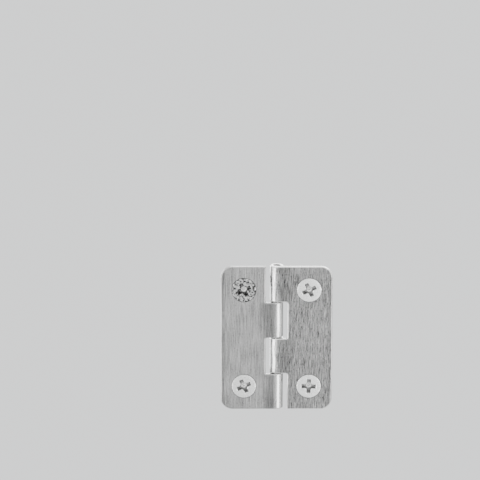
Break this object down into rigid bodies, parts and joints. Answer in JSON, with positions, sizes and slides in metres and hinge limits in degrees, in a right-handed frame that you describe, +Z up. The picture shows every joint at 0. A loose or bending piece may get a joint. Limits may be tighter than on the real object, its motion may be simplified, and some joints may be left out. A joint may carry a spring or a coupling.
{
  "type": "butt hinge",
  "caption": "Small surface-mounted butt hinge with rounded leaves, knuckles rolled round behind a plain pin so that the front is flush, and countersunk cross-head wood screws.",
  "frame": {"origin": "centre of the left leaf's mounting face, on the line of its two screws and level with mid-height", "axes": "+Z up along the pin; +X from the left leaf to the right leaf; +Y into the door or frame that the hinge is screwed to, so the screw heads face -Y"},
  "size_m": [0.03, 0.012, 0.04],
  "materials": {
    "leaf_steel": "brushed along the pin, nickel plated, lightly worn",
    "pin_steel": "drawn wire, bare cut ends",
    "screw_steel": "bright zinc or nickel plate, dull in the recess"
  },
  "bodies": {
    "fixed_side": {"left_leaf": "leaf_steel", "hinge_pin": "pin_steel", "screw_left_upper": "screw_steel", "screw_left_lower": "screw_steel"},
    "moving_side": {"right_leaf": "leaf_steel", "screw_right_upper": "screw_steel", "screw_right_lower": "screw_steel"}
  },
  "joints": [
    {"name": "leaf_swing", "type": "hinge", "parent": "fixed_side", "child": "moving_side", "pos_m": [0.00875, 0.001, 0], "axis": [0, 0, -1], "range_deg": [0, 110]}
  ]
}
